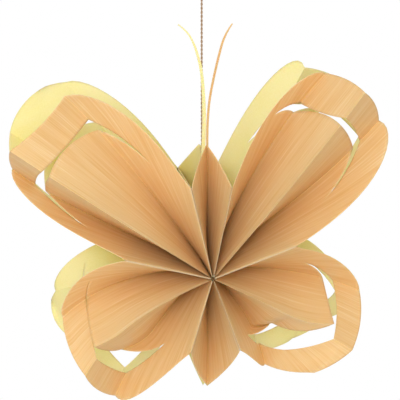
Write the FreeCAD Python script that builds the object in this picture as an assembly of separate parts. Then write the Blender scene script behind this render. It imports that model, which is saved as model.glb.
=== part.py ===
"""A hanging butterfly ornament of folded and cut card.

Six folded sheets stand round one axis like the leaves of an open fan: a head
sheet, a tail sheet and four wings.  Each sheet is a closed ring of card: a
pleated front, a pleated back that mirrors it, and a glued wall at each side.
Front ridges lie in the front plane, and valleys start half way back at the
axis and rise towards their tips.  The wings have a crescent cut out of them,
which leaves a petal inside an outer band.  Two paper antennae and a twine
stand between the pleats of the head sheet.

+X is the ornament's right as seen from the front, +Y runs from the front to
the back, +Z is up.  The origin is the top of the hanging loop.
"""

import FreeCAD, Part
import math
import os

# Driving dimensions in millimetres and degrees.
PLEAT_WIDTH = 62.0          # flat distance from one fold to the next
CARD = 0.30                 # thickness of the card
GLUE_GAP = 0.10             # between the walls of two neighbours
SPINE_ROOM = 0.026994       # left over where the twine leaves the axis between the wings
SMALL_SHEET_ROOM = 4.7      # between the knot and the head and tail sheets
TWINE_ROOM = 0.30           # left over where the twine runs between front and back valleys
HANG_HEIGHT = 250.0         # from the axis up to the top of the hanging loop

HEAD_RIDGE_END = 72.5       # radius at which the two ridges beside the head sheet end
MIDDLE_RIDGE_END = 69.4     # the two ridges between fore and hind wings
TAIL_RIDGE_END = 60.4       # the two ridges beside the tail sheet
FORE_LONG_RIDGE = 184.5
HIND_LONG_RIDGE = 123.5
HEAD_VALLEY_TIP = 97.4
TAIL_VALLEY_TIP = 99.0

FORE_BAND = 23.5            # width of the band on the long ridge
FORE_CRESCENT = 7.5         # width of the crescent there, between the band and the petal
HIND_BAND = 16.5
HIND_CRESCENT = 6.5
SLIT_START = 0.62           # share of the side pleat that the cut leaves whole

TWINE_DIAMETER = 1.8
TWINE_TILT = 3.0            # how far left of the axis the twine leaves the head
LOOP_WIDTH = 14.0
LOOP_HEIGHT = 26.0
LEG_SPREAD = 2.4            # between the loop's two legs where they enter the knot
KNOT_DIAMETER = 4.6
KNOT_GRIP = 0.8             # how far the twine reaches into each knot

ANTENNA_CARD = 0.30
YELLOW_ANTENNA_WIDTH = 3.2
TAN_ANTENNA_WIDTH = 1.9

# Where the front ridges stand round the axis, in degrees from +X.
RIDGE_HEAD_LEFT = 103.4
RIDGE_HEAD_RIGHT = 78.4
RIDGE_RIGHT_MIDDLE = 20.8
RIDGE_TAIL_RIGHT = -69.5
RIDGE_TAIL_LEFT = -106.4
RIDGE_LEFT_MIDDLE = 166.9
HEAD_TIPS = (89.6, 93.0)    # the valley tips of the head sheet, front and back
TAIL_TIPS = (-89.2, -91.0)

# Worked out from the driving dimensions.
DEPTH = 2 * PLEAT_WIDTH
HALF_CARD = CARD / 2
VALLEY_GAP = TWINE_DIAMETER + CARD + TWINE_ROOM    # between the front and back valleys at the axis
SMALL_SHEET_HOLE = KNOT_DIAMETER / 2 + SMALL_SHEET_ROOM
# Radius that the wings leave free round the axis: the wedge beside the head sheet is wide enough for the twine there.
SPINE_HOLE = (TWINE_DIAMETER / 2 + SPINE_ROOM) / math.sin(math.radians(RIDGE_HEAD_LEFT - 90))
WALL_OFFSET = HALF_CARD + GLUE_GAP / 2
AXIS_Z = -HANG_HEIGHT
ACROSS = 4                  # control points across a pleat
ALONG = 6                   # control points along a fold
CUBIC = 3
EDGE_LIMIT = 1.2            # a fold's outer edge stands out by at most this times half the card
MAX_CORNER = 12.0           # how far into a narrow fold its inner corner may lie
EDGE_STATIONS = 5           # points of the cut line across one pleat
NORMAL_STEP = 0.5           # half the length over which a pleat's direction is taken
ARC_SHARE = 0.45            # share of the shorter run that a bend of the twine takes up
CUT_START_Y = -1.0          # the cutting prism starts this far before the front
ROOM_SHARE = 0.8            # share of a narrow fold's room that the card may fill


class Fold:
    """One fold line, from the axis out to its tip."""

    def __init__(self, root, tip, radius, rise=None, offset=0.0, back_shift=(0.0, 0.0), back=False):
        self.root = root            # angle at the axis
        self.tip = tip              # angle at the tip
        self.radius = radius        # radius of the tip
        self.rise = rise            # a valley's depth at its tip as a share of the pleat, or None
        self.offset = offset        # sideways shift that leaves room for the glue line
        self.back_shift = back_shift    # what the back layer's tip adds to the angle and the rise
        self.back = back

    def point(self, r):
        """The fold's point at radius r."""
        share = r / self.radius
        angle = math.radians(self.root + (self.tip - self.root) * share * share)
        depth = 0.0
        if self.rise is not None:
            full = PLEAT_WIDTH - VALLEY_GAP / 2
            depth = full * math.sqrt(max(0.0, 1 - (1 - self.rise ** 2) * share * share))
        if self.back:
            depth = DEPTH - depth
        x = r * math.cos(angle) - self.offset * math.sin(angle)
        z = r * math.sin(angle) + self.offset * math.cos(angle)
        return FreeCAD.Vector(x, depth, z + AXIS_Z)

    def mirrored(self):
        """The same fold in the back layer."""
        turn, lift = self.back_shift
        rise = None if self.rise is None else self.rise + lift
        return Fold(self.root, self.tip + turn, self.radius, rise, self.offset, back=True)


class Valley:
    """How one valley of a wing is folded and where the crescent crosses it."""

    def __init__(self, tip, radius, rise, slit, petal, band, back_shift=(0.0, 0.0)):
        self.tip = tip              # angle at the tip
        self.radius = radius        # radius of the tip
        self.rise = rise            # depth at the tip as a share of the pleat
        self.slit = slit            # radius at which the crescent runs out beside this valley
        self.petal = petal          # radius of the petal's edge on the valley
        self.band = band            # radius of the band's inner edge on the valley
        self.back_shift = back_shift

    def fold(self, root):
        """The valley's fold line from the angle that it has at the axis."""
        return Fold(root, self.tip, self.radius, self.rise, back_shift=self.back_shift)


def knots(count, degree):
    """Clamped uniform knots and their multiplicities."""
    spans = count - degree
    values = [i / spans for i in range(spans + 1)]
    mults = [degree + 1] + [1] * (spans - 1) + [degree + 1]
    return values, mults


def patch(rows):
    """A B-spline face over a grid of control points."""
    degree_u = min(CUBIC, len(rows) - 1)
    degree_v = min(CUBIC, len(rows[0]) - 1)
    u_knots, u_mults = knots(len(rows), degree_u)
    v_knots, v_mults = knots(len(rows[0]), degree_v)
    surface = Part.BSplineSurface()
    surface.buildFromPolesMultsKnots(rows, u_mults, v_mults, u_knots, v_knots,
                                     False, False, degree_u, degree_v)
    return surface.toShape()


class Pleat:
    """The flat card between two folds, cut to an outline."""

    def __init__(self, first, second, radii, inner):
        self.first = first
        self.second = second
        self.radii = radii          # control radii of the outline from first to second
        self.inner = inner          # radius at which the card starts

    def at(self, s, r):
        """The point at share s across the pleat and radius r."""
        return self.first.point(r) * (1 - s) + self.second.point(r) * s

    def normal(self, s, r):
        """The card's unit normal, pointing out of the ring."""
        across = self.second.point(r) - self.first.point(r)
        along = self.at(s, r + NORMAL_STEP) - self.at(s, r - NORMAL_STEP)
        return along.cross(across).normalize()

    def radius(self, i, j):
        """The radius of control point j on column i."""
        outer = self.radii[i]
        return self.inner + (outer - self.inner) * j / (ALONG - 1)


def room(near, far):
    """Sine of half the angle between two pleats that share a fold."""
    cosine = max(-1.0, min(1.0, near.dot(far)))
    return math.sqrt(max(1e-9, (1 + cosine) / 2))


def skin(pleats, side):
    """Control grids of one face of the whole ring: side +1 is outside, -1 inside."""
    grids = []
    count = len(pleats)
    for k, pleat in enumerate(pleats):
        before, after = pleats[k - 1], pleats[(k + 1) % count]
        grid = []
        for i in range(ACROSS):
            s = i / (ACROSS - 1)
            column = []
            for j in range(ALONG):
                r = pleat.radius(i, j)
                own = pleat.normal(s, r)
                base = pleat.at(s, r)
                if i in (0, ACROSS - 1):
                    other = before.normal(1, r) if i == 0 else after.normal(0, r)
                    column.append(base + corner(own, other, pleat, i == 0, side))
                else:
                    column.append(base + own * side * thickness(pleat, before, after, s, r, side))
            grid.append(column)
        grids.append(grid)
    return grids


def folds_inwards(own, other, pleat, at_start, side):
    """Whether this face is on the inner side of the fold."""
    r = pleat.inner + 1
    across = pleat.second.point(r) - pleat.first.point(r)
    if not at_start:
        across = across * -1
    return (other * side).dot(across) > 0


def corner(own, other, pleat, at_start, side):
    """Offset of a fold's edge: the mitre of both faces, kept short on the outer side."""
    bisector = own + other
    if bisector.Length < 1e-6:
        bisector = own
    bisector.normalize()
    half = max(1e-6, bisector.dot(own))
    reach = HALF_CARD / half
    inwards = folds_inwards(own, other, pleat, at_start, side)
    reach = min(reach, MAX_CORNER if inwards else HALF_CARD * EDGE_LIMIT)
    return bisector * side * reach


def thickness(pleat, before, after, s, r, side):
    """Half the card, or less where a narrow fold leaves no room for it."""
    half = HALF_CARD
    width = (pleat.second.point(r) - pleat.first.point(r)).Length
    for own, other, reach, at_start in (
            (pleat.normal(0, r), before.normal(1, r), s * width, True),
            (pleat.normal(1, r), after.normal(0, r), (1 - s) * width, False)):
        if folds_inwards(own, other, pleat, at_start, side):
            half = min(half, ROOM_SHARE * reach * room(own, other))
    return half


def ring(pleats):
    """A closed ring of pleats as one solid of card."""
    outside = skin(pleats, +1)
    inside = skin(pleats, -1)
    faces = []
    for out_grid, in_grid in zip(outside, inside):
        faces.append(patch(out_grid))
        faces.append(patch(in_grid))
        for j in (0, ALONG - 1):
            rim = [[out_grid[i][j], in_grid[i][j]] for i in range(ACROSS)]
            faces.append(patch(rim))
    sewn = Part.makeCompound(faces)
    sewn.sewShape(0.001)
    solid = Part.makeSolid(sewn.Shells[0])
    if solid.Volume < 0:
        solid.reverse()
    return solid


def even(first, last, bulge):
    """Control radii of an outline that runs evenly from one fold to the next, plus a bulge."""
    step = (last - first) / 3
    return [first, first + step + bulge, last - step + bulge, last]


def rounded(short, valley, style):
    """Control radii of a side pleat's outline, rounder on the longer wings."""
    share = (valley - short) / style["side_reach"]
    near, far = style["side_bulge"]
    return [short, short + near * share, valley + far * share, valley]


def wing(first_side, last_side, long_ridge, valleys, style):
    """The front of one wing: side pleat, two tip pleats at the long ridge, side pleat."""
    (first_angle, first_end), (last_angle, last_end) = first_side, last_side
    start = Fold(first_angle, first_angle, first_end, offset=WALL_OFFSET)
    end = Fold(last_angle, last_angle, last_end, offset=-WALL_OFFSET)
    top = Fold(long_ridge[0], long_ridge[1], style["ridge"])
    first = valleys[0].fold((first_angle + long_ridge[0]) / 2)
    second = valleys[1].fold((last_angle + long_ridge[0]) / 2)
    bulge = style["tip_bulge"]
    return [Pleat(start, first, rounded(first_end, first.radius, style), SPINE_HOLE),
            Pleat(first, top, even(first.radius, top.radius, bulge), SPINE_HOLE),
            Pleat(top, second, even(top.radius, second.radius, bulge), SPINE_HOLE),
            Pleat(second, end, rounded(last_end, second.radius, style)[::-1], SPINE_HOLE)]


def closed(front):
    """A ring made of front pleats, a wall, their mirror image and the other wall."""
    folds = [front[0].first] + [p.second for p in front]
    back_folds = [f.mirrored() for f in folds]
    inner = front[0].inner
    back = [Pleat(back_folds[k + 1], back_folds[k], p.radii[::-1], inner)
            for k, p in reversed(list(enumerate(front)))]
    near, far = folds[0], folds[-1]
    far_wall = Pleat(far, back_folds[-1], [far.radius] * ACROSS, inner)
    near_wall = Pleat(back_folds[0], near, [near.radius] * ACROSS, inner)
    return front + [far_wall] + back + [near_wall]


def small_sheet(first_side, last_side, short, tip, tips):
    """The front of the head or tail sheet: two pleats that meet in one valley."""
    start = Fold(first_side, first_side, short, offset=WALL_OFFSET)
    end = Fold(last_side, last_side, short, offset=-WALL_OFFSET)
    front_tip, back_tip = tips
    valley = Fold((first_side + last_side) / 2, front_tip, tip, 1.0,
                  back_shift=(back_tip - front_tip, 0.0))
    return [Pleat(start, valley, even(short, tip, 0.0), SMALL_SHEET_HOLE),
            Pleat(valley, end, even(tip, short, 0.0), SMALL_SHEET_HOLE)]


def crescent(pleats, valleys, style):
    """The prism that cuts the crescent through the front and back of a wing."""
    side_one, tip_one, tip_two, side_two = pleats
    one, two = valleys
    belly, crown = style["slit_belly"], style["slit_crown"]
    edges = []
    for radius_one, ridge, radius_two in ((one.petal, style["petal"], two.petal),
                                          (one.band, style["band"], two.band)):
        edges += [cut_edge(side_one, SLIT_START, one.slit, 1.0, radius_one, belly),
                  cut_edge(tip_one, 0.0, radius_one, 1.0, ridge, crown),
                  cut_edge(tip_two, 0.0, ridge, 1.0, radius_two, crown),
                  cut_edge(side_two, 0.0, radius_two, 1 - SLIT_START, two.slit, belly)]
    wire = Part.Wire(Part.__sortEdges__(edges))
    return Part.Face(wire).extrude(FreeCAD.Vector(0, DEPTH - 2 * CUT_START_Y, 0))


def cut_edge(pleat, s_start, r_start, s_end, r_end, bulge):
    """A smooth cut line across one pleat, in the plane just before the front."""
    points = []
    for k in range(EDGE_STATIONS):
        t = k / (EDGE_STATIONS - 1)
        s = s_start + (s_end - s_start) * t
        r = r_start + (r_end - r_start) * t + bulge * 4 * t * (1 - t)
        p = pleat.at(s, r)
        points.append(FreeCAD.Vector(p.x, CUT_START_Y, p.z))
    curve = Part.BSplineCurve()
    curve.interpolate(points)
    return curve.toShape()


FORE = {"ridge": FORE_LONG_RIDGE, "petal": FORE_LONG_RIDGE - FORE_BAND - FORE_CRESCENT,
        "band": FORE_LONG_RIDGE - FORE_BAND,
        "side_reach": 109.0, "side_bulge": (17.0, 10.0), "tip_bulge": 4.0,
        "slit_belly": 4.0, "slit_crown": 2.0}
HIND = {"ridge": HIND_LONG_RIDGE, "petal": HIND_LONG_RIDGE - HIND_BAND - HIND_CRESCENT,
        "band": HIND_LONG_RIDGE - HIND_BAND,
        "side_reach": 60.0, "side_bulge": (12.0, 8.0), "tip_bulge": 5.0,
        "slit_belly": 3.0, "slit_crown": 1.5}

# The side ridges as (angle, radius of the end), anticlockwise round the axis.
SIDE_HEAD_RIGHT = (RIDGE_HEAD_RIGHT, HEAD_RIDGE_END)
SIDE_HEAD_LEFT = (RIDGE_HEAD_LEFT, HEAD_RIDGE_END)
SIDE_LEFT = (RIDGE_LEFT_MIDDLE, MIDDLE_RIDGE_END)
SIDE_TAIL_LEFT = (RIDGE_TAIL_LEFT + 360, TAIL_RIDGE_END)
SIDE_TAIL_RIGHT = (RIDGE_TAIL_RIGHT, TAIL_RIDGE_END)
SIDE_RIGHT = (RIDGE_RIGHT_MIDDLE, MIDDLE_RIDGE_END)

# Each wing: its two side ridges, its long ridge (angle at axis, angle at tip) and its two valleys.
WINGS = {
    "left_fore_wing": (SIDE_HEAD_LEFT, SIDE_LEFT, (147.4, 146.7),
                       (Valley(128.7, 180.0, 0.29, 97.0, 142.0, 157.0, (-1.5, 0.0)),
                        Valley(152.4, 172.0, 0.95, 100.0, 143.0, 154.0)), FORE),
    "left_hind_wing": (SIDE_LEFT, SIDE_TAIL_LEFT, (204.1, 216.8),
                       (Valley(196.4, 119.0, 0.51, 88.0, 95.5, 98.5, (-3.4, -0.19)),
                        Valley(234.3, 126.0, 0.80, 68.0, 96.5, 106.5)), HIND),
    "right_hind_wing": (SIDE_TAIL_RIGHT, SIDE_RIGHT, (-25.5, -28.1),
                        (Valley(-59.5, 89.0, 0.70, 62.0, 70.0, 78.0),
                         Valley(-9.4, 124.0, 0.77, 76.0, 94.0, 102.0)), HIND),
    "right_fore_wing": (SIDE_RIGHT, SIDE_HEAD_RIGHT, (49.4, 50.8),
                        (Valley(40.2, 179.5, 0.86, 107.0, 150.0, 157.5),
                         Valley(59.2, 180.0, 0.85, 107.0, 141.0, 157.0, (3.4, -0.11))), FORE),
}

MIDDLE_Y = DEPTH / 2

# The twine's route as (x, height above the axis): from the knot at the axis,
# between the head sheet's valleys, straight up to the knot of the loop.
TWINE_ROUTE = [(0.0, KNOT_DIAMETER / 2 - KNOT_GRIP), (-0.9, 30.0), (-2.2, 66.0), (-TWINE_TILT, 100.0),
               (-TWINE_TILT, HANG_HEIGHT - LOOP_HEIGHT - KNOT_DIAMETER / 2 + KNOT_GRIP)]

# Centre lines of the antennae as (x, height above the axis, share of the full width).
YELLOW_ANTENNA = [(-2.4, 84.0, 0.8), (-1.3, 100.0, 0.9), (-1.0, 125.0, 0.9), (-2.6, 152.0, 1.0),
                  (-5.6, 166.0, 1.0), (-9.6, 178.0, 0.9), (-15.0, 187.0, 0.7), (-21.8, 192.0, 0.4)]
TAN_ANTENNA = [(1.4, 88.0, 1.0), (1.2, 108.0, 1.0), (2.6, 130.0, 1.0), (6.0, 148.0, 1.0),
               (10.6, 168.0, 1.0), (15.2, 184.0, 0.9), (21.2, 192.4, 0.5)]


def twine_tube(route):
    """Straight runs of twine joined by tangent arcs, with round ends."""
    points = [FreeCAD.Vector(x, MIDDLE_Y, h + AXIS_Z) for x, h in route]
    edges = []
    start = points[0]
    for k in range(1, len(points) - 1):
        before, corner_point, after = points[k - 1], points[k], points[k + 1]
        to_before = (before - corner_point).normalize()
        to_after = (after - corner_point).normalize()
        turn = math.pi - to_before.getAngle(to_after)
        reach = ARC_SHARE * min((before - corner_point).Length, (after - corner_point).Length)
        radius = reach / math.tan(turn / 2)
        print("twine arc radius", round(radius, 1))
        arc_start = corner_point + to_before * reach
        arc_end = corner_point + to_after * reach
        inward = (to_before + to_after).normalize()
        centre_far = radius / math.cos(turn / 2)
        middle = corner_point + inward * (centre_far - radius)
        edges.append(Part.LineSegment(start, arc_start).toShape())
        edges.append(Part.Arc(arc_start, middle, arc_end).toShape())
        start = arc_end
    edges.append(Part.LineSegment(start, points[-1]).toShape())
    path = Part.Wire(edges)
    section = Part.Wire(Part.Circle(points[0], points[1] - points[0],
                                    TWINE_DIAMETER / 2).toShape())
    tube = path.makePipeShell([section], True, False)
    print("twine volume share", round(tube.Volume / (
        math.pi * TWINE_DIAMETER ** 2 / 4 * path.Length), 4), "length", round(path.Length, 1))
    return tube


def knot(x, height):
    """A small round overhand knot."""
    centre = FreeCAD.Vector(x, MIDDLE_Y, height + AXIS_Z)
    return Part.makeSphere(KNOT_DIAMETER / 2, centre, FreeCAD.Vector(0, 1, 0))


def hanging_loop():
    """The twine's drop-shaped loop and the knot that closes it."""
    radius = TWINE_DIAMETER / 2
    bottom = HANG_HEIGHT - LOOP_HEIGHT
    bend = LOOP_WIDTH / 2 - radius
    centre_height = HANG_HEIGHT - radius - bend
    foot = LEG_SPREAD / 2

    def place(dx, height):
        return FreeCAD.Vector(dx - TWINE_TILT, MIDDLE_Y, height + AXIS_Z)

    reach = math.hypot(foot, centre_height - bottom)
    lean = math.acos(bend / reach) - math.asin(foot / reach)
    side = bend * math.sin(lean)
    drop = bend * math.cos(lean)
    left = place(-side, centre_height - drop)
    along = (left - place(-foot, bottom)).normalize()
    bend_section = Part.Face(Part.Wire(Part.Circle(left, along, radius).toShape()))
    turn = 360 - 2 * math.degrees(lean)
    pieces = [bend_section.revolve(place(0, centre_height), FreeCAD.Vector(0, 1, 0), turn)]
    for sign in (-1, 1):
        start = place(sign * foot, bottom)
        leg = place(sign * side, centre_height - drop) - start
        pieces.append(Part.makeCylinder(radius, leg.Length, start, leg))
    loop = pieces[0]
    for piece in pieces[1:] + [knot(-TWINE_TILT, bottom)]:
        loop = loop.fuse(piece)
    return loop


def antenna(route, width, y):
    """A narrow curved strip of card, cut flat and standing in one plane."""
    centre = [FreeCAD.Vector(x, y, h + AXIS_Z) for x, h, _ in route]
    sides = []
    for sign in (1, -1):
        points = []
        for k, (x, h, share) in enumerate(route):
            before, after = centre[max(k - 1, 0)], centre[min(k + 1, len(centre) - 1)]
            along = (after - before).normalize()
            across = FreeCAD.Vector(along.z, 0, -along.x)
            points.append(centre[k] + across * (sign * share * width / 2))
        curve = Part.BSplineCurve()
        curve.interpolate(points)
        sides.append(curve.toShape())
    ends = [Part.LineSegment(sides[0].valueAt(p), sides[1].valueAt(q)).toShape()
            for p, q in ((sides[0].FirstParameter, sides[1].FirstParameter),
                         (sides[0].LastParameter, sides[1].LastParameter))]
    wire = Part.Wire([sides[0], ends[1], sides[1], ends[0]])
    return Part.Face(wire).extrude(FreeCAD.Vector(0, ANTENNA_CARD, 0))


def save(name, shape):
    """Write one piece and report its volume and soundness."""
    solids = shape.Solids
    shape.exportStep(os.path.join("parts", name + ".step"))
    print(name, "solids", len(solids), "valid", shape.isValid(),
          "volume", round(shape.Volume, 1), "faces", len(shape.Faces))


def main():
    """Build every piece of the ornament."""
    os.makedirs("parts", exist_ok=True)
    for name, (first_side, last_side, long_ridge, valleys, style) in WINGS.items():
        front = wing(first_side, last_side, long_ridge, valleys, style)
        save(name, ring(closed(front)).cut(crescent(front, valleys, style)))
    head = small_sheet(RIDGE_HEAD_RIGHT, RIDGE_HEAD_LEFT, HEAD_RIDGE_END, HEAD_VALLEY_TIP, HEAD_TIPS)
    tail = small_sheet(RIDGE_TAIL_LEFT, RIDGE_TAIL_RIGHT, TAIL_RIDGE_END, TAIL_VALLEY_TIP, TAIL_TIPS)
    save("head_sheet", ring(closed(head)))
    save("tail_sheet", ring(closed(tail)))
    save("yellow_antenna", antenna(YELLOW_ANTENNA, YELLOW_ANTENNA_WIDTH,
                                   MIDDLE_Y - TWINE_DIAMETER / 2 - ANTENNA_CARD - GLUE_GAP))
    save("tan_antenna", antenna(TAN_ANTENNA, TAN_ANTENNA_WIDTH,
                                MIDDLE_Y - TWINE_DIAMETER / 2))
    twine = twine_tube(TWINE_ROUTE)
    save("twine", twine)
    save("centre_knot", knot(0.0, 0.0).cut(twine))
    save("hanging_loop", hanging_loop().cut(twine))


main()
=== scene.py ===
"""A hanging butterfly of pleated duplex card, dressed for a studio picture.

Six folded sheets stand round one axis.  Each is a closed ring of card with a
printed wood grain outside and plain yellow inside.  Every sheet is built from
its flat pattern: folds are lines from the axis outwards, a pleat is the card
between two folds, and the outline and the crescent are cut as radii across
the pleat.  Each sheet stands for one of the frame's.  The back layers and the
folds of some petals differ from the frame's.
"""

from __future__ import annotations

import logging
import math
from dataclasses import dataclass, replace
from enum import Enum
from typing import Callable, Optional, Sequence

import bmesh
import bpy
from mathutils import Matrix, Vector


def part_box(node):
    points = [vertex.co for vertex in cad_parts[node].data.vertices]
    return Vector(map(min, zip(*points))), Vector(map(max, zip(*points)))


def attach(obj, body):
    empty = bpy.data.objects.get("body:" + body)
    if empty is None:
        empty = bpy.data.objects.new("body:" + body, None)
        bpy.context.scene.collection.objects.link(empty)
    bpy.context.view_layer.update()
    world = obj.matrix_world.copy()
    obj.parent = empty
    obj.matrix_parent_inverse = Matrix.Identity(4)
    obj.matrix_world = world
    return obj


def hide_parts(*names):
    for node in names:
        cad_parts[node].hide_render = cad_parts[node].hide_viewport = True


LOG = logging.getLogger("butterfly")

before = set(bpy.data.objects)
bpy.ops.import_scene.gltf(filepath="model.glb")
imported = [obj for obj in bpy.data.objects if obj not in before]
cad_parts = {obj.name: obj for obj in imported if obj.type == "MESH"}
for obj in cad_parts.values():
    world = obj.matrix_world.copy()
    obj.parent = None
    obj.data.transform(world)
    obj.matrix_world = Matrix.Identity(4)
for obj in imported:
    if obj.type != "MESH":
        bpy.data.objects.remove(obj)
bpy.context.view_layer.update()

MM = 0.001
PLEAT = 62.0            # flat width from one fold to the next, in millimetres
CARD = 0.30             # thickness of the card
GLUE_GAP = 0.10         # between the walls of two neighbours
VALLEY_GAP = 2.4        # between the front and back valleys at the axis
KNOT_LOW, KNOT_HIGH = (Vector(corner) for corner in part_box("centre_knot"))
AXIS = Vector(((KNOT_LOW.x + KNOT_HIGH.x) / 2, (KNOT_LOW.y + KNOT_HIGH.y) / 2,
               KNOT_LOW.z + (KNOT_HIGH.x - KNOT_LOW.x) / 2))
RIDGE_START = 1.6       # radius at which the ridges start
HIDDEN_CUT = 0.55       # where a row of the mesh meets the side ridge, as a share of the ridge
SLIT_START = 0.62       # share of the side pleat that the cut leaves whole
LEAST_GAP = 0.3         # width of the crescent where the petal touches the band
LEAN_POWER = 2.0        # how late a fold leans from its angle at the axis to that at its tip
LOOSE_POWER = 1.5       # how late the free petal bends away from the band
WELD = 0.00002          # points nearer than this, in metres, are one
STRAND_STEP = 0.00035   # length of one step of the strands' mesh along the twine, in metres
ON_FOLD = 1e-5          # a fold-distance coordinate below this lies on a fold
GLOW_SHARE = 0.35       # how much of the light spreads inside the card
GLOW_COLOURS = (1.0, 0.5, 0.2)
GLOW_REACH = 0.002      # how far it spreads, in metres
FIBRES = (4000.0, 4000.0, 900.0)  # how finely the twine's fibres lie across and along it
GRAIN_UNIT = 100.0      # millimetres of card in one unit of the printed grain's map
FOLD_DISTANCE_UNIT = 10.0        # millimetres from the fold in one unit of the fold-distance map


class Layer(Enum):
    """Which half of a sheet a fold belongs to."""

    FRONT = "front"
    BACK = "back"


class Cut(Enum):
    """The two parts of a pleat that the crescent separates."""

    PETAL = "petal"
    BAND = "band"


def to_frame(x: float, depth: float, height: float) -> Vector:
    """A point of the frame in metres, from millimetres right, behind the front and above the axis."""
    return Vector((AXIS.x + x * MM, AXIS.y + (depth - PLEAT) * MM, AXIS.z + height * MM))


@dataclass
class Fold:
    """One fold line, from the axis out to its tip.

    Attributes:
        root: angle at the axis, in degrees from +X.
        tip: angle at the tip.
        radius: radius of the tip.
        rise: a valley's depth at its tip as a share of the pleat, or None for a ridge.
        offset: sideways shift that leaves room for the glue line.
        petal: how far the petal's fold leaves the band's, as (degrees, millimetres deeper).
        free: radii at which the petal comes free of the band and at which it ends.
        back_shift: what the back layer's tip adds to the angle, the rise and the radius.
        layer: front or back.
    """

    root: float
    tip: float
    radius: float
    rise: Optional[float] = None
    offset: float = 0.0
    petal: tuple[float, float] = (0.0, 0.0)
    free: tuple[float, float] = (0.0, 0.0)
    back_shift: tuple[float, float, float] = (0.0, 0.0, 0.0)
    layer: Layer = Layer.FRONT

    def point(self, r: float, cut: Cut = Cut.BAND) -> Vector:
        """The fold's point at radius r, in millimetres as (x, depth, height)."""
        share = r / self.radius
        angle = self.root + (self.tip - self.root) * min(1.0, share) ** LEAN_POWER
        depth = 0.0
        if self.rise is not None:
            full = PLEAT - VALLEY_GAP / 2
            depth = full * math.sqrt(max(0.0, 1 - (1 - self.rise ** 2) * share * share))
        start, end = self.free
        if cut is Cut.PETAL and r > start and end > start:
            loose = min(1.0, (r - start) / (end - start)) ** LOOSE_POWER
            angle += self.petal[0] * loose
            depth += self.petal[1] * loose
        if self.layer is Layer.BACK:
            depth = 2 * PLEAT - depth
        angle = math.radians(angle)
        return Vector((r * math.cos(angle) - self.offset * math.sin(angle), depth,
                       r * math.sin(angle) + self.offset * math.cos(angle)))

    def in_back(self) -> Fold:
        """The same fold in the back layer."""
        turn, lift, reach = self.back_shift
        rise = None if self.rise is None else self.rise + lift
        return replace(self, tip=self.tip + turn, rise=rise, radius=self.radius + reach, layer=Layer.BACK)


@dataclass
class Pleat:
    """The card between two folds.

    Attributes:
        first: the fold at share 0.
        second: the fold at share 1.
        outline: radius of the outer edge for a share across the pleat.
        hole: radius that the card leaves free round the twine at the valleys.
        crescent: the petal's and the band's radii for a share, or None where nothing is cut.
        cut_from: shares between which the crescent is open.
        back_edges: the outline and the crescent in the back layer, where those differ.
    """

    first: Fold
    second: Fold
    outline: Callable[[float], float]
    hole: float
    crescent: Optional[Callable[[float], tuple[float, float]]] = None
    cut_from: tuple[float, float] = (0.0, 1.0)
    back_edges: Optional[tuple[Callable, Callable]] = None

    def at(self, s: float, r: float, cut: Cut = Cut.BAND) -> Vector:
        """The point at share s across the pleat and radius r, in millimetres."""
        return self.first.point(r, cut).lerp(self.second.point(r, cut), s)

    def flipped(self) -> Pleat:
        """The same pleat with its shares counted from the other fold."""
        low, high = self.cut_from
        return Pleat(self.second, self.first, turned(self.outline), self.hole, turned(self.crescent),
                     (1 - high, 1 - low), tuple(turned(edge) for edge in self.back_edges))

    def inner(self, s: float) -> float:
        """Radius at which the card starts: ridges come closer together than valleys and walls."""
        if self.first.rise is None and self.second.rise is None:
            deep = 4 * s * (1 - s)
        else:
            deep = s if self.first.rise is None else 1 - s
        return RIDGE_START + (self.hole - RIDGE_START) * deep


def bezier(radii: Sequence[float]) -> Callable[[float], float]:
    """A cubic curve over the share 0 to 1, as a function."""
    a, b, c, d = radii

    def value(s: float) -> float:
        """The curve's radius at share s."""
        t = 1 - s
        return a * t ** 3 + 3 * b * t * t * s + 3 * c * t * s * s + d * s ** 3

    return value


def turned(curve: Callable) -> Callable:
    """The same curve from the other side of the pleat."""
    return lambda s: curve(1 - s)


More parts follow.
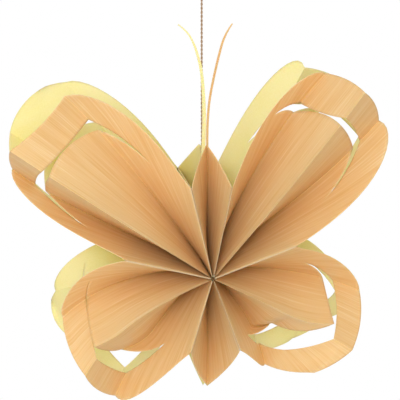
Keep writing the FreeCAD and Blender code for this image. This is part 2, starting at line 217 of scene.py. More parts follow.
class CardMesh:
    """Collects the pleats of one ring into a mesh with a flat-pattern UV map."""

    COLUMNS = 16
    ROWS = 40
    BAND_ROWS = 14

    def __init__(self, name: str) -> None:
        """Start an empty mesh with its two maps."""
        self.name = name
        self.mesh = bmesh.new()
        self.grain = self.mesh.loops.layers.uv.new("grain")
        # The fold-distance map holds the distance from the nearest fold: it marks the folds sharp and places
        # the pale fold lines, partly wear and partly painted highlight.
        self.wear = self.mesh.loops.layers.uv.new("wear")

    def add(self, pleat: Pleat, place: int) -> None:
        """Add one pleat.

        Args:
            pleat: the pleat to build.
            place: its number round the ring, which places it on the flat pattern.
        """
        shares = self._shares(pleat)
        if pleat.crescent is None:
            self._block(pleat, place, shares, pleat.inner, pleat.outline, Cut.BAND, self.ROWS)
            return
        self._block(pleat, place, shares, pleat.inner, lambda s: pleat.crescent(s)[0], Cut.PETAL, self.ROWS)
        self._block(pleat, place, shares, lambda s: pleat.crescent(s)[1],
                    pleat.outline, Cut.BAND, self.BAND_ROWS)

    def _shares(self, pleat: Pleat) -> list[float]:
        """Where the columns stand across the pleat, with one at each end of the crescent."""
        stops = sorted({0.0, 1.0, *pleat.cut_from})
        shares = []
        for low, high in zip(stops, stops[1:]):
            count = max(3, round(self.COLUMNS * (high - low)))
            shares += [low + (high - low) * k / count for k in range(count)]
        return shares + [1.0]

    def _block(self, pleat: Pleat, place: int, shares: list[float],
               low: Callable[[float], float], high: Callable[[float], float],
               cut: Cut, rows: int) -> None:
        """A grid of faces between two radii that change across the pleat."""
        grid = []
        for s in shares:
            column = []
            for j in range(rows + 1):
                r = low(s) + (high(s) - low(s)) * j / rows
                column.append((self.mesh.verts.new(to_frame(*pleat.at(s, r, cut))), s, r))
            grid.append(column)
        for i in range(len(grid) - 1):
            for j in range(rows):
                corners = [grid[i][j], grid[i][j + 1], grid[i + 1][j + 1], grid[i + 1][j]]
                face = self.mesh.faces.new([corner[0] for corner in corners])
                face.smooth = True
                for loop, (_, s, r) in zip(face.loops, corners):
                    loop[self.grain].uv = ((place + s) * PLEAT / GRAIN_UNIT, r / GRAIN_UNIT)
                    loop[self.wear].uv = (min(s, 1 - s) * PLEAT / FOLD_DISTANCE_UNIT, r / GRAIN_UNIT)

    def finish(self) -> bpy.types.Mesh:
        """Weld the pleats, mark the folds sharp and return the mesh."""
        bmesh.ops.remove_doubles(self.mesh, verts=self.mesh.verts, dist=WELD)
        uv = self.wear
        for edge in self.mesh.edges:
            if len(edge.link_faces) == 2:
                on_fold = all(abs(loop[uv].uv.x) < ON_FOLD for face in edge.link_faces
                              for loop in face.loops if loop.vert in edge.verts)
                edge.smooth = not on_fold
        data = bpy.data.meshes.new(self.name)
        self.mesh.to_mesh(data)
        self.mesh.free()
        return data


class Nodes:
    """Short words for building a node tree."""

    def __init__(self, tree: bpy.types.NodeTree) -> None:
        """Take the tree that the nodes go into."""
        self.tree = tree

    def new(self, kind: str, inputs: Optional[dict] = None, **settings: object) -> bpy.types.Node:
        """A node with its settings and inputs, where an input may be a value or a socket."""
        node = self.tree.nodes.new(kind)
        for key, value in settings.items():
            setattr(node, key, value)
        for key, value in (inputs or {}).items():
            if isinstance(value, bpy.types.NodeSocket):
                self.tree.links.new(value, node.inputs[key])
            else:
                node.inputs[key].default_value = value
        return node

    def math(self, operation: str, *values: object) -> bpy.types.NodeSocket:
        """The result of a math node."""
        return self.new("ShaderNodeMath", dict(enumerate(values)), operation=operation).outputs[0]

    def mix(self, factor: object, low: object, high: object) -> bpy.types.NodeSocket:
        """A mix of two colours."""
        node = self.new("ShaderNodeMix", data_type="RGBA", blend_type="MIX")
        for key, value in ((0, factor), (6, low), (7, high)):
            if isinstance(value, bpy.types.NodeSocket):
                self.tree.links.new(value, node.inputs[key])
            else:
                node.inputs[key].default_value = value
        return node.outputs[2]

    def span(self, value: object, low: float, high: float,
             to_low: float = 0.0, to_high: float = 1.0) -> bpy.types.NodeSocket:
        """A value mapped smoothly from one range to another."""
        node = self.new("ShaderNodeMapRange", {"Value": value, "From Min": low, "From Max": high,
                                               "To Min": to_low, "To Max": to_high},
                        interpolation_type="SMOOTHSTEP")
        return node.outputs[0]


def srgb(red: int, green: int, blue: int) -> tuple[float, float, float, float]:
    """A linear colour from screen values of 0 to 255."""
    def linear(value: int) -> float:
        """One channel."""
        c = value / 255
        return c / 12.92 if c <= 0.04045 else ((c + 0.055) / 1.055) ** 2.4

    return linear(red), linear(green), linear(blue), 1.0


def let_light_through(shader: bpy.types.Node) -> None:
    """Light spreads a little inside the card, red the farthest."""
    shader.inputs["Subsurface Weight"].default_value = GLOW_SHARE
    shader.inputs["Subsurface Radius"].default_value = GLOW_COLOURS
    shader.inputs["Subsurface Scale"].default_value = GLOW_REACH


@dataclass(frozen=True)
class PrintedCard:
    """The outside of the card: tan with a printed wood grain that runs along the folds."""

    base: tuple[int, int, int] = (229, 190, 140)
    dark: tuple[int, int, int] = (222, 178, 122)
    pale: tuple[int, int, int] = (238, 207, 166)
    # Pale tone along every fold: partly worn print, partly a painted highlight where the fold catches the
    # light.
    fold: tuple[int, int, int] = (255, 214, 164)
    fold_share: float = 0.5
    fold_width: float = 0.09
    streaks: tuple[float, float, float] = (95.0, 2.2, 1.0)
    clouds: tuple[float, float, float] = (22.0, 0.9, 1.0)
    streak_share: float = 0.55
    roughness: float = 0.62

    def material(self) -> bpy.types.Material:
        """The printed card as a material that reads the flat-pattern UV map."""
        material = bpy.data.materials.new("printed_card")
        material.use_nodes = True
        tree = material.node_tree
        nodes = Nodes(tree)
        shader = tree.nodes["Principled BSDF"]
        flat = nodes.new("ShaderNodeUVMap", uv_map="grain").outputs[0]
        fine = nodes.new("ShaderNodeMapping", {"Vector": flat, "Scale": self.streaks}).outputs[0]
        broad = nodes.new("ShaderNodeMapping", {"Vector": flat, "Scale": self.clouds}).outputs[0]
        streak = nodes.new("ShaderNodeTexNoise", {"Vector": fine, "Scale": 1.0, "Detail": 4.0}).outputs[0]
        cloud = nodes.new("ShaderNodeTexNoise", {"Vector": broad, "Scale": 1.0, "Detail": 3.0}).outputs[0]
        grain = nodes.math("ADD", nodes.math("MULTIPLY", streak, self.streak_share),
                           nodes.math("MULTIPLY", cloud, 1 - self.streak_share))
        tone = nodes.mix(nodes.span(grain, 0.36, 0.52), srgb(*self.dark), srgb(*self.base))
        tone = nodes.mix(nodes.span(grain, 0.52, 0.68), tone, srgb(*self.pale))
        # Painted highlight and wear: the tone turns paler within fold_width of each fold, by fold_share at
        # most.
        distance_to_fold = nodes.new("ShaderNodeSeparateXYZ",
                         {0: nodes.new("ShaderNodeUVMap", uv_map="wear").outputs[0]}).outputs[0]
        fold_highlight_and_wear = nodes.span(distance_to_fold, 0.0, self.fold_width, self.fold_share, 0.0)
        tone = nodes.mix(fold_highlight_and_wear, tone, srgb(*self.fold))
        tree.links.new(tone, shader.inputs["Base Color"])
        shader.inputs["Roughness"].default_value = self.roughness
        let_light_through(shader)
        bump = nodes.new("ShaderNodeBump", {"Height": grain, "Strength": 0.08, "Distance": 0.0004})
        tree.links.new(bump.outputs[0], shader.inputs["Normal"])
        return material


@dataclass(frozen=True)
class PlainCard:
    """The inside of the card, or a cut edge: one colour with a soft paper fibre."""

    name: str
    colour: tuple[int, int, int]
    shade: tuple[int, int, int]
    roughness: float = 0.7

    def material(self) -> bpy.types.Material:
        """The plain card as a material."""
        material = bpy.data.materials.new(self.name)
        material.use_nodes = True
        tree = material.node_tree
        nodes = Nodes(tree)
        shader = tree.nodes["Principled BSDF"]
        place = nodes.new("ShaderNodeTexCoord").outputs["Object"]
        fibre = nodes.new("ShaderNodeTexNoise", {"Vector": place, "Scale": 900.0, "Detail": 5.0}).outputs[0]
        patch = nodes.new("ShaderNodeTexNoise", {"Vector": place, "Scale": 18.0, "Detail": 2.0}).outputs[0]
        amount = nodes.math("ADD", nodes.math("MULTIPLY", fibre, 0.5), nodes.math("MULTIPLY", patch, 0.5))
        tone = nodes.mix(nodes.span(amount, 0.35, 0.65), srgb(*self.shade), srgb(*self.colour))
        tree.links.new(tone, shader.inputs["Base Color"])
        shader.inputs["Roughness"].default_value = self.roughness
        let_light_through(shader)
        bump = nodes.new("ShaderNodeBump", {"Height": fibre, "Strength": 0.06, "Distance": 0.0003})
        tree.links.new(bump.outputs[0], shader.inputs["Normal"])
        return material


@dataclass(frozen=True)
class Finishes:
    """The card's outside, inside and cut edge, and the twine's yarn, made once."""

    outside: bpy.types.Material
    inside: bpy.types.Material
    edge: bpy.types.Material
    yarn: bpy.types.Material


@dataclass(frozen=True)
class Yarn:
    """Natural two-ply twine."""

    colour: tuple[int, int, int] = (196, 172, 148)
    dark: tuple[int, int, int] = (138, 108, 84)

    def material(self) -> bpy.types.Material:
        """The twine as a material."""
        material = bpy.data.materials.new("natural_twine")
        material.use_nodes = True
        tree = material.node_tree
        nodes = Nodes(tree)
        shader = tree.nodes["Principled BSDF"]
        place = nodes.new("ShaderNodeTexCoord").outputs["Object"]
        stretched = nodes.new("ShaderNodeMapping", {"Vector": place, "Scale": FIBRES}).outputs[0]
        fibre = nodes.new("ShaderNodeTexNoise",
                          {"Vector": stretched, "Scale": 1.0, "Detail": 3.0}).outputs[0]
        tone = nodes.mix(nodes.span(fibre, 0.35, 0.62), srgb(*self.dark), srgb(*self.colour))
        tree.links.new(tone, shader.inputs["Base Color"])
        shader.inputs["Roughness"].default_value = 0.85
        bump = nodes.new("ShaderNodeBump", {"Height": fibre, "Strength": 0.5, "Distance": 0.0002})
        tree.links.new(bump.outputs[0], shader.inputs["Normal"])
        return material


def plain_mesh(obj: bpy.types.Object) -> bpy.types.Object:
    """Turn an object with modifiers into a plain mesh and return it."""
    graph = bpy.context.evaluated_depsgraph_get()
    data = bpy.data.meshes.new_from_object(obj.evaluated_get(graph), depsgraph=graph)
    obj.modifiers.clear()
    if obj.type == "MESH":
        obj.data = data
        return obj
    solid = bpy.data.objects.new(obj.name + "_solid", data)
    bpy.context.collection.objects.link(solid)
    bpy.data.objects.remove(obj)
    return solid


@dataclass
class FoldedSheet:
    """A closed ring of card.

    Attributes:
        node: the frame's sheet that this one stands for.
        sides: its two side ridges, anticlockwise, as (angle, radius of the end).
        hole: radius that the card leaves free round the twine.
    """

    node: str
    sides: tuple[tuple[float, float], tuple[float, float]]
    hole: float

    def front(self) -> list[Pleat]:
        """The front pleats in order, anticlockwise."""
        raise NotImplementedError

    def side_folds(self) -> tuple[Fold, Fold]:
        """The folds of the first and the last side ridge."""
        shift = CARD / 2 + GLUE_GAP / 2
        (first, first_end), (last, last_end) = self.sides
        return Fold(first, first, first_end, offset=shift), Fold(last, last, last_end, offset=-shift)

    def ring(self) -> list[Pleat]:
        """All pleats round the ring: front, wall, back, wall."""
        front = self.front()
        folds = [front[0].first] + [pleat.second for pleat in front]
        back_folds = [fold.in_back() for fold in folds]
        back = []
        for k, pleat in reversed(list(enumerate(front))):
            outline, crescent = pleat.back_edges or (pleat.outline, pleat.crescent)
            outline, crescent = turned(outline), turned(crescent) if crescent else None
            low, high = pleat.cut_from
            back.append(Pleat(back_folds[k + 1], back_folds[k], outline, self.hole, crescent,
                              (1 - high, 1 - low)))
        near, far = folds[0], folds[-1]
        far_wall = Pleat(far, back_folds[-1], lambda s: far.radius, self.hole)
        near_wall = Pleat(back_folds[0], near, lambda s: near.radius, self.hole)
        return front + [far_wall] + back + [near_wall]

    def build(self, finishes: Finishes) -> bpy.types.Object:
        """Build the sheet, dress it and put it in the frame."""
        card = CardMesh(self.node + "_card")
        for place, pleat in enumerate(self.ring()):
            card.add(pleat, place)
        data = card.finish()
        for finish in (finishes.outside, finishes.inside, finishes.edge):
            data.materials.append(finish)
        sheet = bpy.data.objects.new(self.node + "_card", data)
        bpy.context.collection.objects.link(sheet)
        thick = sheet.modifiers.new("card", "SOLIDIFY")
        thick.thickness = CARD * MM
        thick.offset = 0.0
        thick.use_even_offset = False
        thick.material_offset = 1
        thick.material_offset_rim = 2
        sheet = plain_mesh(sheet)
        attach(sheet, "root")
        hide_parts(self.node)
        LOG.info("%s: %d faces", sheet.name, len(sheet.data.polygons))
        return sheet


def even(first: float, last: float, bulge: float) -> Callable[[float], float]:
    """An outline that runs evenly from one fold to the next, plus a bulge."""
    step = (last - first) / 3
    return bezier((first, first + step + bulge, last - step + bulge, last))


@dataclass
class SmallSheet(FoldedSheet):
    """The head or tail sheet: two front pleats that meet in one valley.

    Attributes:
        tip: radius of the valley's tip.
        tips: angle of the valley's tip in the front and in the back.
        root: angle of the front valley at the axis.
    """

    tip: float
    tips: tuple[float, float]
    root: float

    def front(self) -> list[Pleat]:
        """The two front pleats."""
        first, last = self.side_folds()
        back_shift = (self.tips[1] - self.tips[0], 0.0, 0.0)
        valley = Fold(self.root, self.tips[0], self.tip, 1.0, back_shift=back_shift)
        out = even(first.radius, self.tip, 0.0)
        return [Pleat(first, valley, out, self.hole), Pleat(valley, last, turned(out), self.hole)]


@dataclass(frozen=True)
class LongRidge:
    """A wing's long ridge.

    Attributes:
        root: angle at the axis.
        tip: angle at the tip.
        radius: radius of the tip.
        petal: radius of the petal's tip.
        band: radius of the band's inner edge.
        loose: how the petal's fold leaves the band's, as (degrees, millimetres deeper).
    """

    root: float
    tip: float
    radius: float
    petal: float
    band: float
    loose: tuple[float, float] = (0.0, 0.0)


@dataclass(frozen=True)
class Valley:
    """How one valley of a wing is folded and where the outline and the crescent cross it.

    Attributes:
        tip: angle at the tip.
        radius: radius of the tip.
        rise: depth at the tip as a share of the pleat.
        slit: radius at which the crescent runs out beside this valley.
        petal: radius of the petal's edge on the valley.
        band: radius of the band's inner edge on the valley.
        side_bulge: roundness of the side pleat's outline near the ridge and near the valley.
        tip_bulge: roundness of the tip pleat's outline in the front and in the back.
        belly: roundness of the cut on the side pleat.
        crowns: roundness of the petal's and the band's edge on the tip pleat.
        late: how late the crescent opens towards the long ridge, as a power.
        back_shift: what the back layer's tip adds to the angle, the rise and the radius.
        back_bulge: roundness of the side pleat's outline in the back, where that differs.
        back_cut: slit, petal and band radii in the back, where those differ.
        loose: how the petal's fold leaves the band's, as (degrees, millimetres deeper).
    """

    tip: float
    radius: float
    rise: float
    slit: float
    petal: float
    band: float
    side_bulge: tuple[float, float]
    tip_bulge: tuple[float, float]
    belly: float = 3.0
    crowns: tuple[float, float] = (1.5, 1.5)
    late: float = 1.0
    back_shift: tuple[float, float, float] = (0.0, 0.0, 0.0)
    back_bulge: Optional[tuple[float, float]] = None
    back_cut: Optional[tuple[float, float, float]] = None
    loose: tuple[float, float] = (0.0, 0.0)

    def in_back(self) -> Valley:
        """The same valley as the back layer has it."""
        slit, petal, band = self.back_cut or (self.slit, self.petal, self.band)
        return replace(self, radius=self.radius + self.back_shift[2], slit=slit, petal=petal, band=band,
                       side_bulge=self.back_bulge or self.side_bulge, tip_bulge=self.tip_bulge[::-1])


@dataclass
class Wing(FoldedSheet):
    """A wing: four front pleats round a long ridge, with the crescent cut.

    Attributes:
        ridge: the long ridge.
        valleys: the two valleys, anticlockwise.
    """

    ridge: LongRidge
    valleys: tuple[Valley, Valley]

    def side_outline(self, ridge_end: float, valley: Valley) -> Callable[[float], float]:
        """Outline of a side pleat from its side ridge to its valley."""
        near, far = valley.side_bulge
        return bezier((ridge_end, ridge_end + near, valley.radius + far, valley.radius))

    def tip_outline(self, valley: Valley) -> Callable[[float], float]:
        """Outline of a tip pleat from its valley to the long ridge."""
        return even(valley.radius, self.ridge.radius, valley.tip_bulge[0])

    def side_cut(self, ridge_end: float, valley: Valley) -> Callable[[float], tuple[float, float]]:
        """Radii of the petal's and the band's edge across a side pleat, closed up to the slit."""
        low = HIDDEN_CUT * ridge_end

        def radii(s: float) -> tuple[float, float]:
            """The two radii at share s from the side ridge."""
            if s <= SLIT_START:
                r = low + (valley.slit - low) * s / SLIT_START
                return r, r
            t = (s - SLIT_START) / (1 - SLIT_START)
            belly = valley.belly * 4 * t * (1 - t)
            return (valley.slit + (valley.petal - valley.slit) * t + belly,
                    valley.slit + (valley.band - valley.slit) * t + belly)

        return radii

    def tip_cut(self, valley: Valley) -> Callable[[float], tuple[float, float]]:
        """Radii of the petal's and the band's edge from a valley to the long ridge."""
        near_gap = valley.band - valley.petal
        far_gap = self.ridge.band - self.ridge.petal

        def radii(s: float) -> tuple[float, float]:
            """The two radii at share s from the valley."""
            middle = 4 * s * (1 - s)
            line = valley.petal + (self.ridge.petal - valley.petal) * s
            gap = near_gap + (far_gap - near_gap) * s ** valley.late
            petal = line + valley.crowns[0] * middle
            return petal, max(petal + LEAST_GAP, line + gap + valley.crowns[1] * middle)

        return radii

    def valley_fold(self, valley: Valley, side: float) -> Fold:
        """A valley's fold line, half way between its ridges at the axis."""
        return Fold((side + self.ridge.root) / 2, valley.tip, valley.radius, valley.rise,
                    petal=valley.loose, free=(valley.slit, valley.petal), back_shift=valley.back_shift)

    def half(self, side: Fold, valley: Valley, top: Fold) -> tuple[Pleat, Pleat]:
        """The side pleat and the tip pleat beside one valley, each from the outer fold inwards."""
        fold, back = self.valley_fold(valley, side.root), valley.in_back()
        return (Pleat(side, fold, self.side_outline(side.radius, valley), self.hole,
                      self.side_cut(side.radius, valley), (SLIT_START, 1.0),
                      (self.side_outline(side.radius, back), self.side_cut(side.radius, back))),
                Pleat(fold, top, self.tip_outline(valley), self.hole, self.tip_cut(valley),
                      back_edges=(self.tip_outline(back), self.tip_cut(back))))

    def front(self) -> list[Pleat]:
        """The four front pleats."""
        first, last = self.side_folds()
        one, two = self.valleys
        long = self.ridge
        top = Fold(long.root, long.tip, long.radius, petal=long.loose,
                   free=((one.slit + two.slit) / 2, long.petal))
        side_two, tip_two = self.half(last, two, top)
        return [*self.half(first, one, top), tip_two.flipped(), side_two.flipped()]


@dataclass
class Antenna:
    """A narrow curved strip of card, as (x, height above the axis, share of the width)."""

    node: str
    route: tuple[tuple[float, float, float], ...]
    width: float
    depth: float

    def build(self, finish: bpy.types.Material, slot: str) -> bpy.types.Object:
        """Build the strip as a smooth ribbon with thickness."""
        curve = bpy.data.curves.new(self.node + "_line", "CURVE")
        curve.dimensions = "3D"
        curve.resolution_u = 12
        line = curve.splines.new("NURBS")
        line.points.add(len(self.route) - 1)
        for point, (x, height, share) in zip(line.points, self.route):
            point.co = (*to_frame(x, self.depth, height), 1.0)
            point.radius = share
        line.order_u = 3
        line.use_endpoint_u = True
        holder = bpy.data.objects.new(self.node + "_line", curve)
        bpy.context.collection.objects.link(holder)
        tree = ribbon_tree(self.node)
        modifier = holder.modifiers.new("ribbon", "NODES")
        modifier.node_group = tree
        set_inputs(modifier, {"Width": self.width * MM, "Thickness": CARD * MM, "Card": finish})
        strip = plain_mesh(holder)
        strip.name = self.node + "_strip"
        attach(strip, "root")
        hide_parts(self.node)
        LOG.info("%s: %d faces", strip.name, len(strip.data.polygons))
        return strip


def new_tree(name: str, inputs: dict[str, str]) -> tuple[bpy.types.NodeTree, Nodes, bpy.types.Node]:
    """A geometry tree with named inputs.

    Args:
        name: the tree's name.
        inputs: socket type for each named input after the geometry.

    Returns:
        The tree, its node helper and its group input node.
    """
    tree = bpy.data.node_groups.new(name, "GeometryNodeTree")
    tree.interface.new_socket("Geometry", in_out="INPUT", socket_type="NodeSocketGeometry")
    for key, kind in inputs.items():
        tree.interface.new_socket(key, in_out="INPUT", socket_type=kind)
    tree.interface.new_socket("Geometry", in_out="OUTPUT", socket_type="NodeSocketGeometry")
    nodes = Nodes(tree)
    return tree, nodes, nodes.new("NodeGroupInput")


def end_tree(nodes: Nodes, geometry: bpy.types.NodeSocket, material: bpy.types.NodeSocket) -> None:
    """Close a tree with Realize Instances and Set Material."""
    real = nodes.new("GeometryNodeRealizeInstances", {0: geometry}).outputs[0]
    dressed = nodes.new("GeometryNodeSetMaterial", {"Geometry": real, "Material": material}).outputs[0]
    nodes.new("NodeGroupOutput", {0: dressed})


def set_inputs(modifier: bpy.types.Modifier, values: dict[str, object]) -> None:
    """Set a modifier's inputs by the names of its tree's sockets."""
    for item in modifier.node_group.interface.items_tree:
        if item.in_out == "INPUT" and item.name in values:
            modifier[item.identifier] = values[item.name]


def ribbon_tree(name: str) -> bpy.types.NodeTree:
    """A flat strip along a curve, as wide as the curve's radius says."""
    sockets = {"Width": "NodeSocketFloat", "Thickness": "NodeSocketFloat", "Card": "NodeSocketMaterial"}
    tree, nodes, given = new_tree(name + "_ribbon", sockets)
    facing = nodes.new("GeometryNodeSetCurveNormal", {"Curve": given.outputs["Geometry"],
                                                      "Normal": (0.0, 1.0, 0.0)}, mode="FREE").outputs[0]
    strip = nodes.new("GeometryNodeCurvePrimitiveQuadrilateral",
                      {"Width": given.outputs["Thickness"], "Height": given.outputs["Width"]})
    share = nodes.new("GeometryNodeInputRadius").outputs[0]
    mesh = nodes.new("GeometryNodeCurveToMesh", {"Curve": facing, "Profile Curve": strip.outputs[0],
                                                 "Scale": share, "Fill Caps": True}).outputs[0]
    flat = nodes.new("GeometryNodeSetShadeSmooth", {"Geometry": mesh, "Shade Smooth": False}).outputs[0]
    end_tree(nodes, flat, given.outputs["Card"])
    return tree


def ply_tree() -> bpy.types.NodeTree:
    """Two strands laid round each other along a curve."""
    tree, nodes, given = new_tree("two_ply", {"Diameter": "NodeSocketFloat", "Lay": "NodeSocketFloat",
                                              "Yarn": "NodeSocketMaterial"})
    fine = nodes.new("GeometryNodeResampleCurve",
                     {"Curve": given.outputs["Geometry"], "Length": STRAND_STEP}, mode="LENGTH").outputs[0]
    along = nodes.new("GeometryNodeSplineParameter").outputs["Length"]
    turn = nodes.math("MULTIPLY", nodes.math("DIVIDE", along, given.outputs["Lay"]), 2 * math.pi)
    twisted = nodes.new("GeometryNodeSetCurveTilt", {"Curve": fine, "Tilt": turn}).outputs[0]
    radius = nodes.math("MULTIPLY", given.outputs["Diameter"], 0.25)
    strand = nodes.new("GeometryNodeCurvePrimitiveCircle", {"Resolution": 12, "Radius": radius}).outputs[0]
    both = nodes.new("GeometryNodeJoinGeometry")
    for sign in (1.0, -1.0):
        shift = nodes.new("ShaderNodeCombineXYZ", {0: nodes.math("MULTIPLY", radius, sign)}).outputs[0]
        moved = nodes.new("GeometryNodeTransform", {"Geometry": strand, "Translation": shift}).outputs[0]
        tree.links.new(moved, both.inputs[0])
    mesh = nodes.new("GeometryNodeCurveToMesh", {"Curve": twisted, "Profile Curve": both.outputs[0],
                                                 "Fill Caps": True}).outputs[0]
    smooth = nodes.new("GeometryNodeSetShadeSmooth", {"Geometry": mesh}).outputs[0]
    end_tree(nodes, smooth, given.outputs["Yarn"])
    return tree


@dataclass
class Twine:
    """The taut twine, the knot it ends in and its hanging loop."""

    diameter: float = 1.8
    lay: float = 6.5
    route: tuple[tuple[float, float], ...] = ((0.0, 1.5), (-0.9, 30.0), (-2.2, 66.0),
                                              (-3.0, 100.0), (-3.0, 222.5))

    def _strand(self, name: str, points: Sequence[Vector],
                finish: bpy.types.Material) -> tuple[bpy.types.Object, list[Vector]]:
        """Two-ply yarn along a smooth line, with the points of that line."""
        curve = bpy.data.curves.new(name, "CURVE")
        curve.dimensions = "3D"
        curve.resolution_u = 24
        line = curve.splines.new("NURBS")
        line.points.add(len(points) - 1)
        for point, place in zip(line.points, points):
            point.co = (*place, 1.0)
        line.order_u = 3
        line.use_endpoint_u = True
        holder = bpy.data.objects.new(name, curve)
        bpy.context.collection.objects.link(holder)
        graph = bpy.context.evaluated_depsgraph_get()
        bare = bpy.data.meshes.new_from_object(holder.evaluated_get(graph), depsgraph=graph)
        path = [vertex.co.copy() for vertex in bare.vertices]
        modifier = holder.modifiers.new("ply", "NODES")
        modifier.node_group = ply_tree()
        set_inputs(modifier, {"Diameter": self.diameter * MM, "Lay": self.lay * MM, "Yarn": finish})
        return plain_mesh(holder), path

    def build(self, finish: bpy.types.Material) -> bpy.types.Object:
        """Build the straight stretch and dress the knots."""
        points = [to_frame(x, PLEAT, height) for x, height in self.route]
        twine, path = self._strand("hanging_twine", points, finish)
        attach(twine, "root")
        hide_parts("twine")
        for node in ("centre_knot", "hanging_loop"):
            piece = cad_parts[node]
            piece.data.materials.clear()
            piece.data.materials.append(finish)
        return twine


def seen_directly(nodes: Nodes) -> bpy.types.NodeSocket:
    """One for rays from the camera, from reflections and through clear things, else zero."""
    rays = nodes.new("ShaderNodeLightPath")
    return nodes.math("MAXIMUM", rays.outputs["Is Camera Ray"],
                      nodes.math("MAXIMUM", rays.outputs["Is Glossy Ray"],
                                 rays.outputs["Is Transmission Ray"]))


@dataclass
class Studio:
    """Pale floor, soft light and the camera at the picture's viewing angle."""

    azimuth: float = -5.5
    elevation: float = 10.4
    distance: float = 1.6
    picture: int = 400
    scale: float = 0.80          # millimetres a pixel at the axis
    axis_pixel: tuple[float, float] = (205.4, 264.8)
    sensor: float = 36.0         # width of the camera's sensor in millimetres
    ambient: tuple[float, float, float] = (1.0, 0.90, 0.74)
    ambient_strength: float = 0.74
    floor_reach: float = 6.0
    floor_drop: float = 0.75     # metres from the axis down to the floor

    def camera(self) -> None:
        """Place the camera and aim it so that the axis falls on its pixel."""
        a, e = math.radians(self.azimuth), math.radians(self.elevation)
        axis = to_frame(0.0, PLEAT, 0.0)
        out = Vector((math.sin(a) * math.cos(e), -math.cos(a) * math.cos(e), math.sin(e)))
        place = axis + out * self.distance
        half = self.picture * self.scale * MM / 2
        lens_share = half / self.distance
        data = bpy.data.cameras.new("camera")
        data.sensor_width = self.sensor
        data.lens = self.sensor / 2 / lens_share
        data.clip_end = 20.0
        camera = bpy.data.objects.new("camera", data)
        bpy.context.collection.objects.link(camera)
        right = Vector((math.cos(a), math.sin(a), 0.0))
        up = right.cross(-out).normalized()
        shift_x = (self.axis_pixel[0] - self.picture / 2) * self.scale * MM
        shift_y = (self.picture / 2 - self.axis_pixel[1]) * self.scale * MM
        target = axis - right * shift_x - up * shift_y
        camera.location = place
        camera.rotation_euler = (target - place).to_track_quat("-Z", "Y").to_euler()
        bpy.context.scene.camera = camera

    def light(self, name: str, place: tuple[float, float, float], power: float, size: float,
              colour: tuple[float, float, float]) -> None:
        """A square softbox that faces the axis."""
        data = bpy.data.lights.new(name, "AREA")
        data.energy = power
        data.size = size
        data.color = colour
        lamp = bpy.data.objects.new(name, data)
        bpy.context.collection.objects.link(lamp)
        axis = to_frame(0.0, PLEAT, 0.0)
        lamp.location = axis + Vector(place)
        lamp.rotation_euler = (axis - lamp.location).to_track_quat("-Z", "Y").to_euler()

    def background(self) -> None:
        """White to the camera and to reflections, a soft warm tone as light."""
        world = bpy.data.worlds.new("studio")
        bpy.context.scene.world = world
        world.use_nodes = True
        nodes = Nodes(world.node_tree)
        seen = seen_directly(nodes)
        ambient = nodes.new("ShaderNodeBackground",
                            {"Color": (*self.ambient, 1.0), "Strength": self.ambient_strength})
        white = nodes.new("ShaderNodeBackground", {"Color": (1.0, 1.0, 1.0, 1.0), "Strength": 1.0})
        both = nodes.new("ShaderNodeMixShader", {0: seen, 1: ambient.outputs[0], 2: white.outputs[0]})
        output = world.node_tree.nodes["World Output"]
        world.node_tree.links.new(both.outputs[0], output.inputs[0])

    def floor(self) -> None:
        """A wide pale floor well below the ornament."""
        data = bpy.data.meshes.new("floor")
        reach, level = self.floor_reach, AXIS.z - self.floor_drop
        data.from_pydata([(-reach, -reach, level), (reach, -reach, level),
                          (reach, reach, level), (-reach, reach, level)], [], [(0, 1, 2, 3)])
        floor = bpy.data.objects.new("floor", data)
        bpy.context.collection.objects.link(floor)
        material = bpy.data.materials.new("floor")
        material.use_nodes = True
        nodes = Nodes(material.node_tree)
        seen = seen_directly(nodes)
        white = nodes.new("ShaderNodeEmission", {"Color": (1.0, 1.0, 1.0, 1.0), "Strength": 1.0})
        shader = material.node_tree.nodes["Principled BSDF"]
        shader.inputs["Base Color"].default_value = (0.9, 0.9, 0.9, 1.0)
        shader.inputs["Roughness"].default_value = 0.9
        both = nodes.new("ShaderNodeMixShader", {0: seen, 1: shader.outputs[0], 2: white.outputs[0]})
        output = material.node_tree.nodes["Material Output"]
        material.node_tree.links.new(both.outputs[0], output.inputs[0])
        data.materials.append(material)

    def build(self) -> None:
        """Set up the whole studio."""
        self.camera()
        self.background()
        self.floor()
        self.light("key", (-0.6, -1.2, 1.0), power=4.5, size=1.6, colour=(1.0, 0.99, 1.0))
        self.light("fill", (-0.3, -1.7, 0.4), power=11.5, size=0.5, colour=(0.98, 0.99, 1.0))
        bpy.context.scene.view_settings.view_transform = "Standard"


WING_HOLE, SMALL_SHEET_HOLE = 4.0, 7.0
HEAD_RIGHT, HEAD_LEFT = (78.4, 72.5), (103.4, 72.5)
MIDDLE_LEFT, MIDDLE_RIGHT = (166.9, 69.4), (20.8, 69.4)
TAIL_LEFT, TAIL_RIGHT = (253.6, 60.4), (-69.5, 60.4)

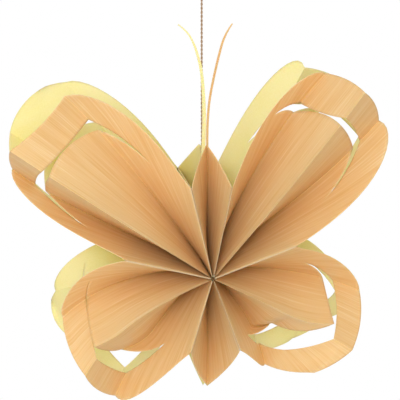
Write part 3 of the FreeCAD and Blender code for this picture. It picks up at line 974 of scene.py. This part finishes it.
SHEETS = (
    SmallSheet("head_sheet", (HEAD_RIGHT, HEAD_LEFT), SMALL_SHEET_HOLE,
               tip=97.4, tips=(89.6, 93.0), root=88.0),
    Wing("left_fore_wing", (HEAD_LEFT, MIDDLE_LEFT), WING_HOLE,
         LongRidge(root=147.4, tip=146.7, radius=184.5, petal=149.0, band=155.5),
         (Valley(tip=128.7, radius=180.0, rise=0.29, slit=97.0, petal=141.0, band=152.5,
                 side_bulge=(17.0, -2.0), tip_bulge=(-4.0, 13.0), crowns=(7.0, -1.0),
                 back_shift=(-1.5, 0.0, 0.0)),
          Valley(tip=152.4, radius=172.0, rise=0.95, slit=100.0, petal=141.0, band=150.5,
                 side_bulge=(12.0, 5.0), tip_bulge=(2.0, 2.0), belly=0.0))),
    Wing("left_hind_wing", (MIDDLE_LEFT, TAIL_LEFT), WING_HOLE,
         LongRidge(root=204.1, tip=216.8, radius=123.5, petal=105.0, band=108.5, loose=(-4.0, 0.0)),
         (Valley(tip=196.4, radius=120.0, rise=0.51, slit=96.0, petal=98.0, band=98.4,
                 side_bulge=(12.0, 8.0), tip_bulge=(5.0, 16.0), belly=1.0, late=3.0,
                 back_shift=(-3.4, -0.19, 2.0)),
          Valley(tip=234.3, radius=126.0, rise=0.80, slit=68.0, petal=95.0, band=106.5,
                 side_bulge=(16.0, 7.0), tip_bulge=(5.0, 5.0), loose=(-8.0, 0.0)))),
    SmallSheet("tail_sheet", ((TAIL_LEFT[0] - 360, TAIL_LEFT[1]), TAIL_RIGHT), SMALL_SHEET_HOLE,
               tip=99.0, tips=(-89.2, -91.0), root=-88.0),
    Wing("right_hind_wing", (TAIL_RIGHT, MIDDLE_RIGHT), WING_HOLE,
         LongRidge(root=-25.5, tip=-28.1, radius=123.5, petal=101.5, band=106.0, loose=(6.0, 0.0)),
         (Valley(tip=-59.5, radius=89.0, rise=0.62, slit=60.0, petal=68.0, band=74.0,
                 side_bulge=(10.0, 1.0), tip_bulge=(10.0, 10.0), crowns=(-3.0, 2.0), loose=(13.0, 0.0)),
          Valley(tip=-9.4, radius=124.0, rise=0.77, slit=76.0, petal=94.0, band=102.0,
                 side_bulge=(6.0, -1.0), tip_bulge=(5.0, 5.0), crowns=(0.0, 3.0),
                 back_shift=(-7.0, 0.0, 0.0), back_cut=(76.0, 84.0, 110.0)))),
    Wing("right_fore_wing", (MIDDLE_RIGHT, HEAD_RIGHT), WING_HOLE,
         LongRidge(root=49.4, tip=50.8, radius=184.5, petal=153.5, band=160.0),
         (Valley(tip=40.2, radius=179.5, rise=0.86, slit=107.0, petal=150.0, band=157.5,
                 side_bulge=(55.0, 15.0), tip_bulge=(4.0, 4.0), back_cut=(98.0, 138.0, 160.0)),
          Valley(tip=58.5, radius=180.0, rise=0.85, slit=134.0, petal=141.0, band=149.5,
                 side_bulge=(17.0, 6.0), tip_bulge=(4.0, 2.0), crowns=(5.0, -2.0),
                 back_shift=(4.0, -0.09, -4.0), back_bulge=(34.0, 22.0), back_cut=(100.0, 124.0, 144.0)))),
)

YELLOW_ANTENNA = Antenna("yellow_antenna",
                         ((-2.4, 84.0, 0.9), (-1.3, 100.0, 1.0), (-1.0, 125.0, 0.9), (-2.6, 152.0, 0.75),
                          (-5.6, 166.0, 0.65), (-9.6, 178.0, 0.5), (-15.0, 187.0, 0.4), (-21.8, 192.0, 0.3)),
                         width=3.2, depth=60.85)
TAN_ANTENNA = Antenna("tan_antenna",
                      ((1.4, 88.0, 1.0), (1.2, 108.0, 1.0), (2.6, 130.0, 1.0), (6.0, 148.0, 1.0),
                       (10.6, 168.0, 1.0), (15.2, 184.0, 0.9), (21.2, 192.4, 0.5)),
                      width=1.9, depth=61.25)


def main() -> None:
    """Build every piece in order."""
    logging.basicConfig(level=logging.INFO)
    Studio().build()
    finishes = Finishes(
        outside=PrintedCard().material(),
        inside=PlainCard("yellow_card", colour=(245, 234, 178), shade=(240, 228, 158)).material(),
        edge=PlainCard("cut_edge", colour=(246, 226, 188), shade=(232, 206, 160)).material(),
        yarn=Yarn().material())
    Twine().build(finishes.yarn)
    for sheet in SHEETS:
        sheet.build(finishes)
    YELLOW_ANTENNA.build(finishes.inside, "yellow_card")
    tan_card = PlainCard("tan_card", colour=(222, 184, 134), shade=(206, 164, 112))
    TAN_ANTENNA.build(tan_card.material(), "tan_card")


if __name__ == "__main__":
    main()
